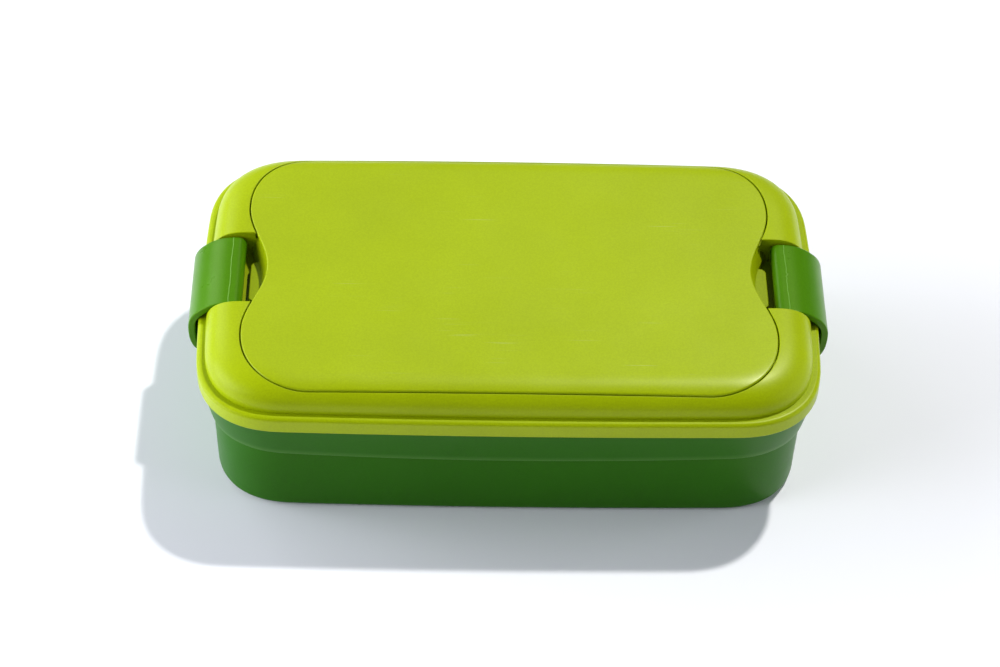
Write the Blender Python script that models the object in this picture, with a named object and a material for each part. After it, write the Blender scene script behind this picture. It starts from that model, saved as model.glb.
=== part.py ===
"""Latched lunch box: tub, domed lid with a cutlery compartment, lift-off top panel, two end latches.

Metres, +Z up. The origin is the centre of the underside, +X runs along the length and +Y to the back.
Plan outlines are rounded rectangles with superelliptic corners and slightly bowed sides. Each outline of
the tub and lid is named by its inset from the widest line of the lid's rim.
"""

import math

import bmesh
import bpy

MM = 0.001

# Widest plan outline, at the lid's rim
HALF_LENGTH = 111.0 * MM
HALF_WIDTH = 65.6 * MM
CORNER = 30.5 * MM
CORNER_POWER = 2.48
BOW_OF_LONG_SIDE = 1.5 * MM
BOW_OF_END = 2.5 * MM
CORNER_SHRINK = 0.6  # a corner loses this share of the outline's inset
SIDE_STEPS = 5
CORNER_STEPS = 9
WAVE_STEPS = 8
SHARP_ANGLE = math.radians(35)

# Heights
LID_TOP = 61.7 * MM
RIM_TOP = 51.7 * MM
RIM_BOTTOM = 44.9 * MM
TUB_LEDGE = 44.6 * MM
TUB_TOP = 46.9 * MM
CHANNEL_TOP = 48.7 * MM
PLUG_BOTTOM = 45.6 * MM
LID_UNDERSIDE = 47.2 * MM
COMPARTMENT_FLOOR = 49.0 * MM
BAY_FLOOR = 50.5 * MM
SEAT = 58.5 * MM
ABOVE = 66.0 * MM
GAP = 0.3 * MM

# How far cutters and added shapes reach into or past what they join
OVERLAP = 1.0 * MM
BEYOND_END = 115.0 * MM

# Tub
COLLAR_EDGE = 30.8 * MM
COLLAR_DIP = 2.1 * MM
COLLAR_DIP_REACH = 93.0 * MM
FOOT_DEPTH = 0.8 * MM
CATCH_HALF_WIDTH = 13.0 * MM
CATCH_BOTTOM = 38.7 * MM
CATCH_TOP = 42.0 * MM
CATCH_LIP = 1.0 * MM
CATCH_INNER = 107.4 * MM
CATCH_OUTER = 110.4 * MM

# Lid's shoulder, a quarter superellipse between the rim and the flat top
SHOULDER_START = 2.95 * MM
SHOULDER_RUN = 12.6 * MM
SHOULDER_POWER = 2.3
SHOULDER_STEPS = 8

# Top panel, whose ends are a wave with a finger notch in the middle
PANEL_HALF_LENGTH = 94.35 * MM
PANEL_HALF_WIDTH = 58.0 * MM
NOTCH_DEPTH = 7.5 * MM
WAVE_REACH = 31.0 * MM
PANEL_CORNER_X = 25.5 * MM
PANEL_CORNER_POWER = 2.2
PANEL_UNDERSIDE = 58.8 * MM
PANEL_HOLLOW_TOP = 59.9 * MM
PANEL_GAP = 0.45 * MM
COMPARTMENT_INSET = 4.5 * MM
RIB_INSET = 5.0 * MM
RIB_WIDTH = 1.5 * MM
PANEL_EDGE_DROP = 0.7 * MM
RIB_BOTTOM = 57.0 * MM

# Latch bay and latches
BAY_HALF_WIDTH = 17.3 * MM
BAY_OUTER = 107.4 * MM
BAY_SILL = 51.9 * MM
POCKET_STEPS = 10
POCKET_LIP = 0.6 * MM
POCKET_OVERLAP = 0.4 * MM
POCKET_OUTER = 94.0 * MM
POCKET_SLOPE = 2.2 * MM
SLOPE_BOTTOM = 54.0 * MM
PLATFORM_INNER = 87.0 * MM
PLATFORM_OUTER = 93.3 * MM
PLATFORM_HALF_WIDTH = 9.7 * MM
PIVOT_X = 98.1 * MM
PIVOT_Z = 56.8 * MM
BARREL_RADIUS = 3.0 * MM
LATCH_HALF_WIDTH = 16.9 * MM
TRUNNION_RADIUS = 1.6 * MM
TRUNNION_END = 19.6 * MM
TRUNNION_HOLE_RADIUS = 1.95 * MM
TRUNNION_HOLE_END = 20.2 * MM

# Hollows in the lid's underside, between the compartment and the plug ring
CAVITY_X = (93.6 * MM, 102.8 * MM)
CAVITY_Y = (22.0 * MM, 44.0 * MM)
CAVITY_TOP = 56.6 * MM

# Cutlery in the lid's compartment
CUTLERY_LENGTH = 150.0 * MM
CUTLERY_THICKNESS = 2.4 * MM
CUTLERY_SPACING = 33.0 * MM
CUTLERY_REST = COMPARTMENT_FLOOR + GAP
SPOON_THICKNESS = 1.6 * MM
SLOT_HALF_WIDTH = 1.05 * MM
SLOT_START = 45.0 * MM
TINE_PITCH = 5.4 * MM

LIME = (0.41, 0.56, 0.02)
GREEN = (0.045, 0.16, 0.012)
LATCH_GREEN = (0.07, 0.27, 0.012)
SEAL_WHITE = (0.72, 0.76, 0.70)


def clear_scene():
    for obj in list(bpy.data.objects):
        bpy.data.objects.remove(obj, do_unlink=True)


def plastic(name, colour, roughness):
    material = bpy.data.materials.new(name)
    material.use_nodes = True
    shader = material.node_tree.nodes["Principled BSDF"]
    shader.inputs["Base Color"].default_value = (*colour, 1.0)
    shader.inputs["Roughness"].default_value = roughness
    shader.inputs["Metallic"].default_value = 0.0
    return material


# ---- plan outlines -------------------------------------------------------------------------------


def all_quadrants(quarter):
    """The closed loop of a quarter outline that runs from the +X axis to the +Y axis."""
    back = [(-x, y) for x, y in reversed(quarter[:-1])]
    upper = quarter + back
    return upper + [(-x, -y) for x, y in upper[1:-1]]


def body_outline(inset):
    """The tub and lid outline at an inset from the rim's widest line."""
    half_x = HALF_LENGTH - inset
    half_y = HALF_WIDTH - inset
    corner = CORNER - CORNER_SHRINK * inset
    quarter = []
    for i in range(SIDE_STEPS):
        share = i / SIDE_STEPS
        quarter.append((half_x, BOW_OF_LONG_SIDE * (1 - share) + (half_y - corner) * share))
    for i in range(CORNER_STEPS + 1):
        turn = 0.5 * math.pi * i / CORNER_STEPS
        x = half_x - corner + corner * math.cos(turn) ** (2 / CORNER_POWER)
        y = half_y - corner + corner * math.sin(turn) ** (2 / CORNER_POWER)
        quarter.append((x, y))
    for i in range(1, SIDE_STEPS + 1):
        share = i / SIDE_STEPS
        quarter.append(((half_x - corner) * (1 - share) + BOW_OF_END * share, half_y))
    bowed = []
    for x, y in quarter:
        bowed.append((x - BOW_OF_END * (y / half_y) ** 2, y - BOW_OF_LONG_SIDE * (x / half_x) ** 2))
    return all_quadrants(bowed)


def wave(y, inset):
    """The panel's end line: its x at a distance y from the middle, up to WAVE_REACH."""
    middle = PANEL_HALF_LENGTH - 0.5 * NOTCH_DEPTH - inset
    return middle - 0.5 * NOTCH_DEPTH * math.cos(math.pi * y / WAVE_REACH)


def panel_outline(inset):
    """The top panel's outline, or one inside it."""
    quarter = []
    for i in range(WAVE_STEPS):
        y = WAVE_REACH * i / WAVE_STEPS
        quarter.append((wave(y, inset), y))
    run_x = PANEL_CORNER_X - inset
    run_y = PANEL_HALF_WIDTH - inset - WAVE_REACH
    start_x = PANEL_HALF_LENGTH - PANEL_CORNER_X
    for i in range(CORNER_STEPS + 1):
        turn = 0.5 * math.pi * i / CORNER_STEPS
        x = start_x + run_x * math.cos(turn) ** (2 / PANEL_CORNER_POWER)
        y = WAVE_REACH + run_y * math.sin(turn) ** (2 / PANEL_CORNER_POWER)
        quarter.append((x, y))
    for i in range(1, SIDE_STEPS + 1):
        quarter.append((start_x * (1 - i / SIDE_STEPS), PANEL_HALF_WIDTH - inset))
    return all_quadrants(quarter)


def inset_at(x, y):
    """How far inside the rim's widest line a point of the plan lies."""
    low = 0.0
    high = HALF_WIDTH
    for _ in range(40):
        inset = 0.5 * (low + high)
        half_x = HALF_LENGTH - inset
        half_y = HALF_WIDTH - inset
        corner = CORNER - CORNER_SHRINK * inset
        out_x = abs(x) + BOW_OF_END * (y / half_y) ** 2 - (half_x - corner)
        out_y = abs(y) + BOW_OF_LONG_SIDE * (x / half_x) ** 2 - (half_y - corner)
        if out_x <= 0 or out_y <= 0:
            inside = out_x < corner and out_y < corner
        else:
            inside = (out_x / corner) ** CORNER_POWER + (out_y / corner) ** CORNER_POWER < 1
        if inside:
            low = inset
        else:
            high = inset
    return low


def shoulder_height(inset):
    """The lid's outer surface above its rim, at an inset from the rim's widest line."""
    part = min(max((inset - SHOULDER_START) / SHOULDER_RUN, 0.0), 1.0)
    return RIM_TOP + (LID_TOP - RIM_TOP) * (1 - (1 - part) ** SHOULDER_POWER) ** (1 / SHOULDER_POWER)


# ---- meshes --------------------------------------------------------------------------------------


def finish_mesh(name, mesh_data, material):
    bmesh.ops.recalc_face_normals(mesh_data, faces=mesh_data.faces)
    mesh = bpy.data.meshes.new(name)
    mesh_data.to_mesh(mesh)
    mesh_data.free()
    mesh.shade_smooth()
    mesh.set_sharp_from_angle(angle=SHARP_ANGLE)
    obj = bpy.data.objects.new(name, mesh)
    bpy.context.scene.collection.objects.link(obj)
    if material:
        mesh.materials.append(material)
    else:
        obj.hide_render = True
        obj.display_type = "WIRE"
    return obj


def loft(name, rings, material=None, ring_is_closed=False):
    """A solid through rings of points: capped at both ends, or joined end to end."""
    mesh_data = bmesh.new()
    made = [[mesh_data.verts.new(point) for point in ring] for ring in rings]
    pairs = list(zip(made, made[1:]))
    if ring_is_closed:
        pairs.append((made[-1], made[0]))
    else:
        mesh_data.faces.new(made[0][::-1])
        mesh_data.faces.new(made[-1])
    for lower, upper in pairs:
        count = len(lower)
        for i in range(count):
            j = (i + 1) % count
            mesh_data.faces.new((lower[i], lower[j], upper[j], upper[i]))
    return finish_mesh(name, mesh_data, material)


def level(outline, height):
    return [(x, y, height) for x, y in outline]


def prism_along_y(name, profile, half_width, material=None):
    """A profile of (x, z) points, extruded to both sides of the XZ plane."""
    front = [(x, -half_width, z) for x, z in profile]
    back = [(x, half_width, z) for x, z in profile]
    return loft(name, [front, back], material)


def circle_profile(centre_x, centre_z, radius, steps=20):
    turns = [2 * math.pi * i / steps for i in range(steps)]
    return [(centre_x + radius * math.cos(t), centre_z + radius * math.sin(t)) for t in turns]


def box_profile(low_x, high_x, low_z, high_z):
    return [(low_x, low_z), (high_x, low_z), (high_x, high_z), (low_x, high_z)]


def combine(target, other, operation):
    modifier = target.modifiers.new(f"{operation.lower()}_{other.name}", "BOOLEAN")
    modifier.operation = operation
    modifier.solver = "EXACT"
    modifier.object = other


def mirrored(profile, side):
    return [(side * x, z) for x, z in profile]


# ---- tub -----------------------------------------------------------------------------------------


def collar_height(x, y, above):
    """The height of the collar's lower edge, which dips in the middle of each long side."""
    dip = COLLAR_DIP * max(0.0, 1 - (x / COLLAR_DIP_REACH) ** 2)
    return COLLAR_EDGE - dip + above


def make_tub(material):
    collar_step = 0.35 * MM
    foot = [(15.5, FOOT_DEPTH / MM), (15.0, 0.0), (7.2, 0.0), (6.0, 0.4), (5.4, 1.2), (5.2, 2.4)]
    rings = [level(body_outline(inset * MM), height * MM) for inset, height in foot]
    for inset, above in ((4.6, -collar_step), (3.3, collar_step)):
        outline = body_outline(inset * MM)
        rings.append([(x, y, collar_height(x, y, above)) for x, y in outline])
    upper = [
        (0.95, TUB_LEDGE - 0.3 * MM),
        (1.25, TUB_LEDGE),
        (2.75, TUB_LEDGE),
        (2.75, TUB_TOP),
        (4.75, TUB_TOP),
    ]
    rings += [level(body_outline(inset * MM), height) for inset, height in upper]
    inside = [(4.75, 43.0), (5.75, 34.0), (6.75, 29.0), (7.05, 5.0), (7.7, 3.0), (9.6, 2.2)]
    rings += [level(body_outline(inset * MM), height * MM) for inset, height in inside]
    tub = loft("base_container", rings, material)
    for side, word in ((-1, "left"), (1, "right")):
        profile = [
            (CATCH_INNER, CATCH_BOTTOM),
            (CATCH_OUTER, CATCH_BOTTOM),
            (CATCH_OUTER, CATCH_BOTTOM + CATCH_LIP),
            (CATCH_INNER, CATCH_TOP),
        ]
        catch = prism_along_y(f"{word}_catch_shape", mirrored(profile, side), CATCH_HALF_WIDTH)
        combine(tub, catch, "UNION")
    return tub


# ---- lid -----------------------------------------------------------------------------------------


def lid_blank(material):
    """The lid before its seat, compartment and latch bays are cut."""
    under = [
        (6.9, LID_UNDERSIDE),
        (6.9, PLUG_BOTTOM),
        (5.1, PLUG_BOTTOM),
        (5.1, CHANNEL_TOP),
        (2.4, CHANNEL_TOP),
        (2.4, RIM_BOTTOM),
        (0.6, RIM_BOTTOM),
        (0.0, RIM_BOTTOM + 0.8 * MM),
        (0.0, RIM_TOP - 1.5 * MM),
        (0.5, RIM_TOP - 0.5 * MM),
        (1.5, RIM_TOP),
    ]
    rings = [level(body_outline(inset * MM), height) for inset, height in under]
    for i in range(SHOULDER_STEPS + 1):
        turn = 0.5 * math.pi * i / SHOULDER_STEPS
        inset = SHOULDER_START + SHOULDER_RUN * (1 - math.cos(turn))
        rings.append(level(body_outline(inset), shoulder_height(inset)))
    return loft("lid", rings, material)


def pocket_cutter(side, name):
    """The finger pocket beside the panel's notch, whose inner wall slopes out as it goes down."""
    rings = []
    heights = (
        (BAY_FLOOR, POCKET_SLOPE),
        (SLOPE_BOTTOM, POCKET_SLOPE),
        (SEAT - POCKET_LIP, -POCKET_OVERLAP),
        (ABOVE, -POCKET_OVERLAP),
    )
    for height, out in heights:
        ring = []
        for i in range(POCKET_STEPS + 1):
            y = BAY_HALF_WIDTH * (2 * i / POCKET_STEPS - 1)
            ring.append((side * (wave(abs(y), 0.0) + out), y, height))
        ring.append((side * POCKET_OUTER, BAY_HALF_WIDTH, height))
        ring.append((side * POCKET_OUTER, -BAY_HALF_WIDTH, height))
        rings.append(ring)
    return loft(name, rings)


def make_lid(material):
    lid = lid_blank(material)
    seat = loft("seat_cutter", [level(panel_outline(-PANEL_GAP), z) for z in (SEAT, ABOVE)])
    combine(lid, seat, "DIFFERENCE")
    compartment_outline = panel_outline(COMPARTMENT_INSET)
    walls = [level(compartment_outline, z) for z in (COMPARTMENT_FLOOR, ABOVE)]
    compartment = loft("compartment_cutter", walls)
    combine(lid, compartment, "DIFFERENCE")
    for side, word in ((-1, "left"), (1, "right")):
        pocket = pocket_cutter(side, f"{word}_pocket_cutter")
        combine(lid, pocket, "DIFFERENCE")
        bay = [
            (POCKET_OUTER - OVERLAP, BAY_FLOOR),
            (BAY_OUTER, BAY_FLOOR),
            (BAY_OUTER, BAY_SILL),
            (BEYOND_END, BAY_SILL),
            (BEYOND_END, ABOVE + OVERLAP),
            (POCKET_OUTER - OVERLAP, ABOVE + OVERLAP),
        ]
        bay_cutter = prism_along_y(f"{word}_bay_cutter", mirrored(bay, side), BAY_HALF_WIDTH)
        combine(lid, bay_cutter, "DIFFERENCE")
        hole = circle_profile(side * PIVOT_X, PIVOT_Z, TRUNNION_HOLE_RADIUS)
        hole_cutter = prism_along_y(f"{word}_trunnion_cutter", hole, TRUNNION_HOLE_END)
        combine(lid, hole_cutter, "DIFFERENCE")
        platform = box_profile(PLATFORM_INNER, PLATFORM_OUTER, BAY_FLOOR - OVERLAP, SLOPE_BOTTOM)
        name = f"{word}_platform_shape"
        combine(lid, prism_along_y(name, mirrored(platform, side), PLATFORM_HALF_WIDTH), "UNION")
        for end, end_word in ((-1, "front"), (1, "back")):
            cavity = make_corner_cavity(side, end, f"{word}_{end_word}_cavity_cutter")
            combine(lid, cavity, "DIFFERENCE")
    return lid


def make_corner_cavity(side, end, name):
    """The cutter of one hollow in the lid's underside."""
    plan = [(side * x, end * y) for y in CAVITY_Y for x in CAVITY_X]
    plan[2], plan[3] = plan[3], plan[2]
    return loft(name, [level(plan, z) for z in (LID_UNDERSIDE - OVERLAP, CAVITY_TOP)])


def make_seal(material):
    low, high = TUB_TOP + GAP, CHANNEL_TOP - GAP
    section = ((2.75, low), (2.75, high), (4.75, high), (4.75, low))
    rings = [level(body_outline(inset * MM), height) for inset, height in section]
    return loft("lid_seal", rings, material, ring_is_closed=True)


# ---- top panel -----------------------------------------------------------------------------------


def make_panel(material):
    rings = [
        level(panel_outline(RIB_INSET + RIB_WIDTH), PANEL_HOLLOW_TOP),
        level(panel_outline(RIB_INSET + RIB_WIDTH), RIB_BOTTOM),
        level(panel_outline(RIB_INSET), RIB_BOTTOM),
        level(panel_outline(RIB_INSET), PANEL_UNDERSIDE),
        level(panel_outline(0.3 * MM), PANEL_UNDERSIDE),
    ]
    for inset, drop in ((0.0, PANEL_EDGE_DROP), (0.5, 0.0), (1.8, 0.0), (3.4, 0.0), (5.4, 0.0), (8.0, 0.0)):
        ring = []
        for x, y in panel_outline(inset * MM):
            ring.append((x, y, shoulder_height(inset_at(x, y)) - drop))
        rings.append(ring)
    return loft("top_panel", rings, material)


# ---- latches -------------------------------------------------------------------------------------


def smooth_through(points, steps):
    """Points on a Catmull-Rom curve through the given ones."""
    padded = [points[0]] + points + [points[-1]]
    curve = []
    for k in range(len(points) - 1):
        before, start, end, after = padded[k : k + 4]
        for i in range(steps):
            t = i / steps
            place = []
            for p0, p1, p2, p3 in zip(before, start, end, after):
                value = 2 * p1 + (p2 - p0) * t
                value += (2 * p0 - 5 * p1 + 4 * p2 - p3) * t**2
                value += (3 * p1 - p0 - 3 * p2 + p3) * t**3
                place.append(0.5 * value)
            curve.append(tuple(place))
    curve.append(points[-1])
    return curve


def latch_profile():
    """The latch's side view: a barrel, a strap over the shoulder and rim, and a hook that turns in."""
    outer = [
        (98.1, 59.8),
        (101.8, 59.6),
        (105.4, 58.6),
        (109.1, 56.5),
        (112.4, 53.5),
        (114.2, 50.0),
        (114.7, 46.0),
        (114.4, 41.4),
        (113.4, 37.8),
        (112.0, 35.9),
        (110.4, 35.3),
    ]
    inner = [
        (109.3, 36.1),
        (109.3, 37.8),
        (110.4, 38.3),
        (111.5, 39.6),
        (112.0, 42.5),
        (112.1, 46.8),
        (111.8, 49.6),
        (110.5, 51.9),
        (107.7, 54.6),
        (104.6, 56.5),
        (101.6, 57.4),
    ]
    profile = smooth_through([(x * MM, z * MM) for x, z in outer], 2)
    profile += smooth_through([(x * MM, z * MM) for x, z in inner], 2)
    barrel_steps = 12
    first, last = math.radians(-5), math.radians(-255)
    for i in range(barrel_steps + 1):
        turn = first + (last - first) * i / barrel_steps
        x = PIVOT_X + BARREL_RADIUS * math.cos(turn)
        z = PIVOT_Z + BARREL_RADIUS * math.sin(turn)
        profile.append((x, z))
    return profile


def make_latch(side, name, material):
    """A latch whose origin is on its hinge axis."""
    profile = [(x - PIVOT_X, z - PIVOT_Z) for x, z in latch_profile()]
    latch = prism_along_y(name, mirrored(profile, side), LATCH_HALF_WIDTH, material)
    pin = circle_profile(0.0, 0.0, TRUNNION_RADIUS)
    trunnion = prism_along_y(f"{name}_trunnion_shape", pin, TRUNNION_END)
    for obj in (latch, trunnion):
        obj.location = (side * PIVOT_X, 0.0, PIVOT_Z)
    combine(latch, trunnion, "UNION")
    return latch


# ---- cutlery -------------------------------------------------------------------------------------


def cutlery_blank(name, middle_y, half_width, rise, thickness, material):
    """A flat implement along X: half_width and rise are functions of the share of its length."""
    along, across = 36, 8
    mesh_data = bmesh.new()
    layers = []
    for lift in (0.0, thickness):
        rows = []
        for i in range(along + 1):
            part = i / along
            row = []
            for j in range(across + 1):
                share = 2 * j / across - 1
                x = CUTLERY_LENGTH * (part - 0.5)
                y = middle_y + share * half_width(part)
                z = CUTLERY_REST + lift + rise(part, share)
                row.append(mesh_data.verts.new((x, y, z)))
            rows.append(row)
        layers.append(rows)
    for rows in layers:
        for i in range(along):
            for j in range(across):
                corners = (rows[i][j], rows[i + 1][j], rows[i + 1][j + 1], rows[i][j + 1])
                mesh_data.faces.new(corners)
    low, high = layers
    for i in range(along):
        for j in (0, across):
            mesh_data.faces.new((low[i][j], low[i + 1][j], high[i + 1][j], high[i][j]))
    for j in range(across):
        for i in (0, along):
            mesh_data.faces.new((low[i][j], low[i][j + 1], high[i][j + 1], high[i][j]))
    return finish_mesh(name, mesh_data, material)


def smooth_step(value, start, end):
    t = min(max((value - start) / (end - start), 0.0), 1.0)
    return t * t * (3 - 2 * t)


def rounded_end(part, from_part, power=2.0):
    """Falls from 1 to nearly 0 between from_part and the end of the implement."""
    t = min(max((part - from_part) / (1 - from_part), 0.0), 1.0)
    return max(1 - t**power, 0.02) ** (1 / power)


def handle_half_width(part):
    start = max(1 - (1 - min(part / 0.06, 1.0)) ** 2, 0.04) ** 0.5
    return start * (7.5 - 3.8 * smooth_step(part, 0.08, 0.6)) * MM


def spoon_half_width(part):
    bowl = 13.5 * MM * smooth_step(part, 0.64, 0.86) * rounded_end(part, 0.84)
    return max(handle_half_width(part) * rounded_end(part, 0.9), bowl)


def spoon_rise(part, share):
    bowl = smooth_step(part, 0.66, 0.8) * (1 - smooth_step(part, 0.84, 1.0))
    return 4.2 * MM * (1 - bowl * (1 - share**2)) * smooth_step(part, 0.5, 0.68)


def fork_half_width(part):
    head = 12.0 * MM * smooth_step(part, 0.62, 0.78)
    return max(handle_half_width(part), head) * (1 - 0.1 * smooth_step(part, 0.9, 1.0))


def knife_half_width(part):
    blade = 8.0 * MM * smooth_step(part, 0.42, 0.56) * rounded_end(part, 0.82)
    return max(handle_half_width(part) * rounded_end(part, 0.88), blade)


def flat_rise(part, share):
    return 0.0


def make_cutlery(material):
    spoon = cutlery_blank("spoon", CUTLERY_SPACING, spoon_half_width, spoon_rise, SPOON_THICKNESS, material)
    fork = cutlery_blank("fork", 0.0, fork_half_width, flat_rise, CUTLERY_THICKNESS, material)
    for i in (-1, 0, 1):
        slot = box_profile(SLOT_START, CUTLERY_LENGTH, CUTLERY_REST - OVERLAP, SEAT)
        slot_cutter = prism_along_y(f"tine_slot_cutter_{i + 2}", slot, SLOT_HALF_WIDTH)
        slot_cutter.location.y = i * TINE_PITCH
        combine(fork, slot_cutter, "DIFFERENCE")
    knife = cutlery_blank("knife", -CUTLERY_SPACING, knife_half_width, flat_rise, CUTLERY_THICKNESS, material)
    return spoon, fork, knife


def main():
    clear_scene()
    lime = plastic("lime_plastic", LIME, 0.38)
    green = plastic("green_plastic", GREEN, 0.34)
    latch_green = plastic("latch_plastic", LATCH_GREEN, 0.30)
    seal_rubber = plastic("seal_silicone", SEAL_WHITE, 0.6)
    make_tub(green)
    make_lid(lime)
    make_seal(seal_rubber)
    make_panel(lime)
    make_latch(-1, "left_latch", latch_green)
    make_latch(1, "right_latch", latch_green)
    make_cutlery(latch_green)


main()
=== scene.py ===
"""The looks of the latched lunch box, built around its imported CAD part.

Every CAD node is replaced by a finer moulding of the same shape. The shapes' sizes are in millimetres and
become metres when a mesh is made; an inset is measured inwards from an outline's widest line. Lights are
placed in metres. The frame is the CAD part's own: +X along the length, +Y to the back, +Z up.
"""

import math

import bmesh
import bpy
from mathutils import Matrix, Vector


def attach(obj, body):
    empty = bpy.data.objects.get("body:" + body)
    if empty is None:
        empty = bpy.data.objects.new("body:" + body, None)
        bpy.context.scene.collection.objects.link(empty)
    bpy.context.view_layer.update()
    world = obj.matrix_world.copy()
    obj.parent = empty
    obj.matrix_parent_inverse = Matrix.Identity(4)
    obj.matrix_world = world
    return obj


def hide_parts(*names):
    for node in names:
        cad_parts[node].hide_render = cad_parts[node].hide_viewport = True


MM = 0.001

# Widest plan outline, at the lid's rim
HALF_LENGTH = 111.0
HALF_WIDTH = 65.6
CORNER = 30.5
CORNER_POWER = 2.48
BOW_OF_LONG_SIDE = 1.5
BOW_OF_END = 2.5
CORNER_SHRINK = 0.6

# Columns of every loop round the box, for a quarter of it, closest where the pocket's platform is rounded
BAY_HALF_WIDTH = 17.3
PLATFORM_ROUNDING_Y = (6.4, 7.4, 8.1, 8.7, 9.15, 9.45, 9.62, 9.7, 9.78)
BAY_Y = (0, 1.7, 3.4, 5.1) + PLATFORM_ROUNDING_Y + (10.4, 11.8, 13.4, 15.2, BAY_HALF_WIDTH)
END_STEPS = 8
CORNER_STEPS = 22
LONG_STEPS = 24
BAY_COLUMNS = len(BAY_Y) - 1
QUARTER = BAY_COLUMNS + END_STEPS + CORNER_STEPS + LONG_STEPS

# Heights
LID_TOP = 61.7
RIM_TOP = 51.7
RIM_BOTTOM = 44.9
TUB_LEDGE = 44.6
TUB_TOP = 46.9
CHANNEL_TOP = 48.7
PLUG_BOTTOM = 45.6
LID_UNDERSIDE = 47.2
COMPARTMENT_FLOOR = 49.0
BAY_FLOOR = 50.5
SEAT = 58.5

# Tub: the collar, whose lower edge carries a painted highlight (a pale line), and the catch under each
# latch's hook
COLLAR_HEIGHT = 30.8
COLLAR_DIP = 2.1
COLLAR_DIP_REACH = 93.0
COLLAR_LIP = 0.35
COLLAR_INSET = 4.5
COLLAR_ROUNDING = 0.45
CATCH_INNER = 107.4
CATCH_OUTER = 110.4
CATCH_BOTTOM = 38.7
CATCH_TOP = 42.0
CATCH_LIP = 1.0
CATCH_HALF_WIDTH = 13.0
CATCH_ROUNDING = 0.3
TUB_WALL_OUTER = 2.75
TUB_WALL_INNER = 4.75

# Shoulder, panel, bay and pocket; the bays are the notches that the latches lie in
SHOULDER_START = 2.95
SHOULDER_RUN = 12.6
SHOULDER_POWER = 2.3
SHOULDER_STEPS = 16
SEAT_EDGE_STEPS = 4
PANEL_HALF_LENGTH = 94.35
PANEL_HALF_WIDTH = 58.0
NOTCH_DEPTH = 7.5
WAVE_REACH = 31.0
PANEL_CORNER_X = 25.5
PANEL_CORNER_POWER = 2.2
PANEL_UNDERSIDE = 58.8
PANEL_HOLLOW_TOP = 59.9
RIB_BOTTOM = 57.0
PANEL_GAP = 0.45
PANEL_ROUNDING = 0.5
PANEL_EDGE_DROP = 0.7
RIB_OUTER = 5.0
RIB_INNER = 6.5
RIB_HOLLOW = 8.0
UNDERSIDE_INNER = 0.9
UNDERSIDE_OUTER = 0.3
COMPARTMENT_INSET = 4.5
POCKET_SLOPE = 2.2
SLOPE_BOTTOM = 54.0
SLOPE_TOP = 57.9
BAY_OUTER = 107.4
BAY_SILL = RIM_TOP + 0.2
POCKET_OVERLAP = 0.4
PLATFORM_OUTER = 93.3
PLATFORM_HALF_WIDTH = 9.7
PLATFORM_CORNER = 2.0
SILL_ROW = 0
PLATFORM_EDGE_ROW = 4

# Lid's underside
PLUG_OUTER = 5.1
PLUG_INNER = 6.9
SKIRT_INNER = 2.4
SKIRT_FOOT = 1.2
RIM_LOWER_RADIUS = 0.8
RIM_UPPER_RADIUS = 1.5
CAVITY_X = (93.6, 102.8)
CAVITY_Y = (22.0, 44.0)
CAVITY_TOP = 56.6

# Seal
SEAL_CLEARANCE = 0.3
SEAL_ROUNDING = 0.5

# Latches: a barrel on trunnions, and the flash, a thin pale seam along the top of the strap
PIVOT_X = 98.1
PIVOT_Z = 56.8
BARREL_RADIUS = 3.0
BARREL_START = -5
BARREL_SWEEP = 265
BARREL_STEPS = 40
LATCH_HALF_WIDTH = 16.9
LATCH_ROUNDING = 0.5
LATCH_ROWS = 60
FLASH_X = 99.8
FLASH_REACH = 0.6
FLASH_PIECES = 9
FLASH_HEIGHT = 0.07
FLASH_HALF_WIDTH = 0.17
FLASH_LIFT = 0.4
GATE_Y = 1.0
GATE_WIDTH = 1.3
GATE_SWAY = 0.35
GATE_HEIGHT = 0.12
TRUNNION_RADIUS = 1.6
TRUNNION_END = 19.6
TRUNNION_ROUNDING = 0.3
TRUNNION_HOLE_RADIUS = 1.95
TRUNNION_HOLE_END = 20.2

# Cutlery
CUTLERY_LENGTH = 150.0
CUTLERY_SPACING = 33.0
CUTLERY_REST = 49.3
LENGTHWISE_STEPS = 90
CROSSWISE_STEPS = 18
SPOON_THICKNESS = 1.6
FLAT_THICKNESS = 2.4
HANDLE_HALF_WIDTH = 7.5
HANDLE_NARROWING = 3.8
BOWL_HALF_WIDTH = 13.5
BOWL_HEIGHT = 4.2
FORK_HEAD_HALF_WIDTH = 12.0
BLADE_HALF_WIDTH = 8.0
SLOT_START = 45.4
SLOT_END = 0.6 * CUTLERY_LENGTH
SLOT_HALF_WIDTH = 1.05
SLOT_BOTTOM = 45.0
SLOT_TOP = 58.0
TINE_PITCH = 5.4

FLOOR_REACH = 1300.0
FLOOR_TOP = -0.02
FLOOR_BOTTOM = -4.0

EDGE_RADIUS = 0.32
EDGE_SEGMENTS = 3
PRISM_ROUNDING_STEPS = 5
LEAST_TURN = math.radians(25)
SHARP_ANGLE = math.radians(38)


# ---- plan outlines -------------------------------------------------------------------------------


def whole_loop(quarter):
    """The closed loop of a quarter that runs from the +X axis to the +Y axis."""
    upper = quarter + [(-x, y) for x, y in reversed(quarter[:-1])]
    return upper + [(-x, -y) for x, y in upper[1:-1]]


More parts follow.
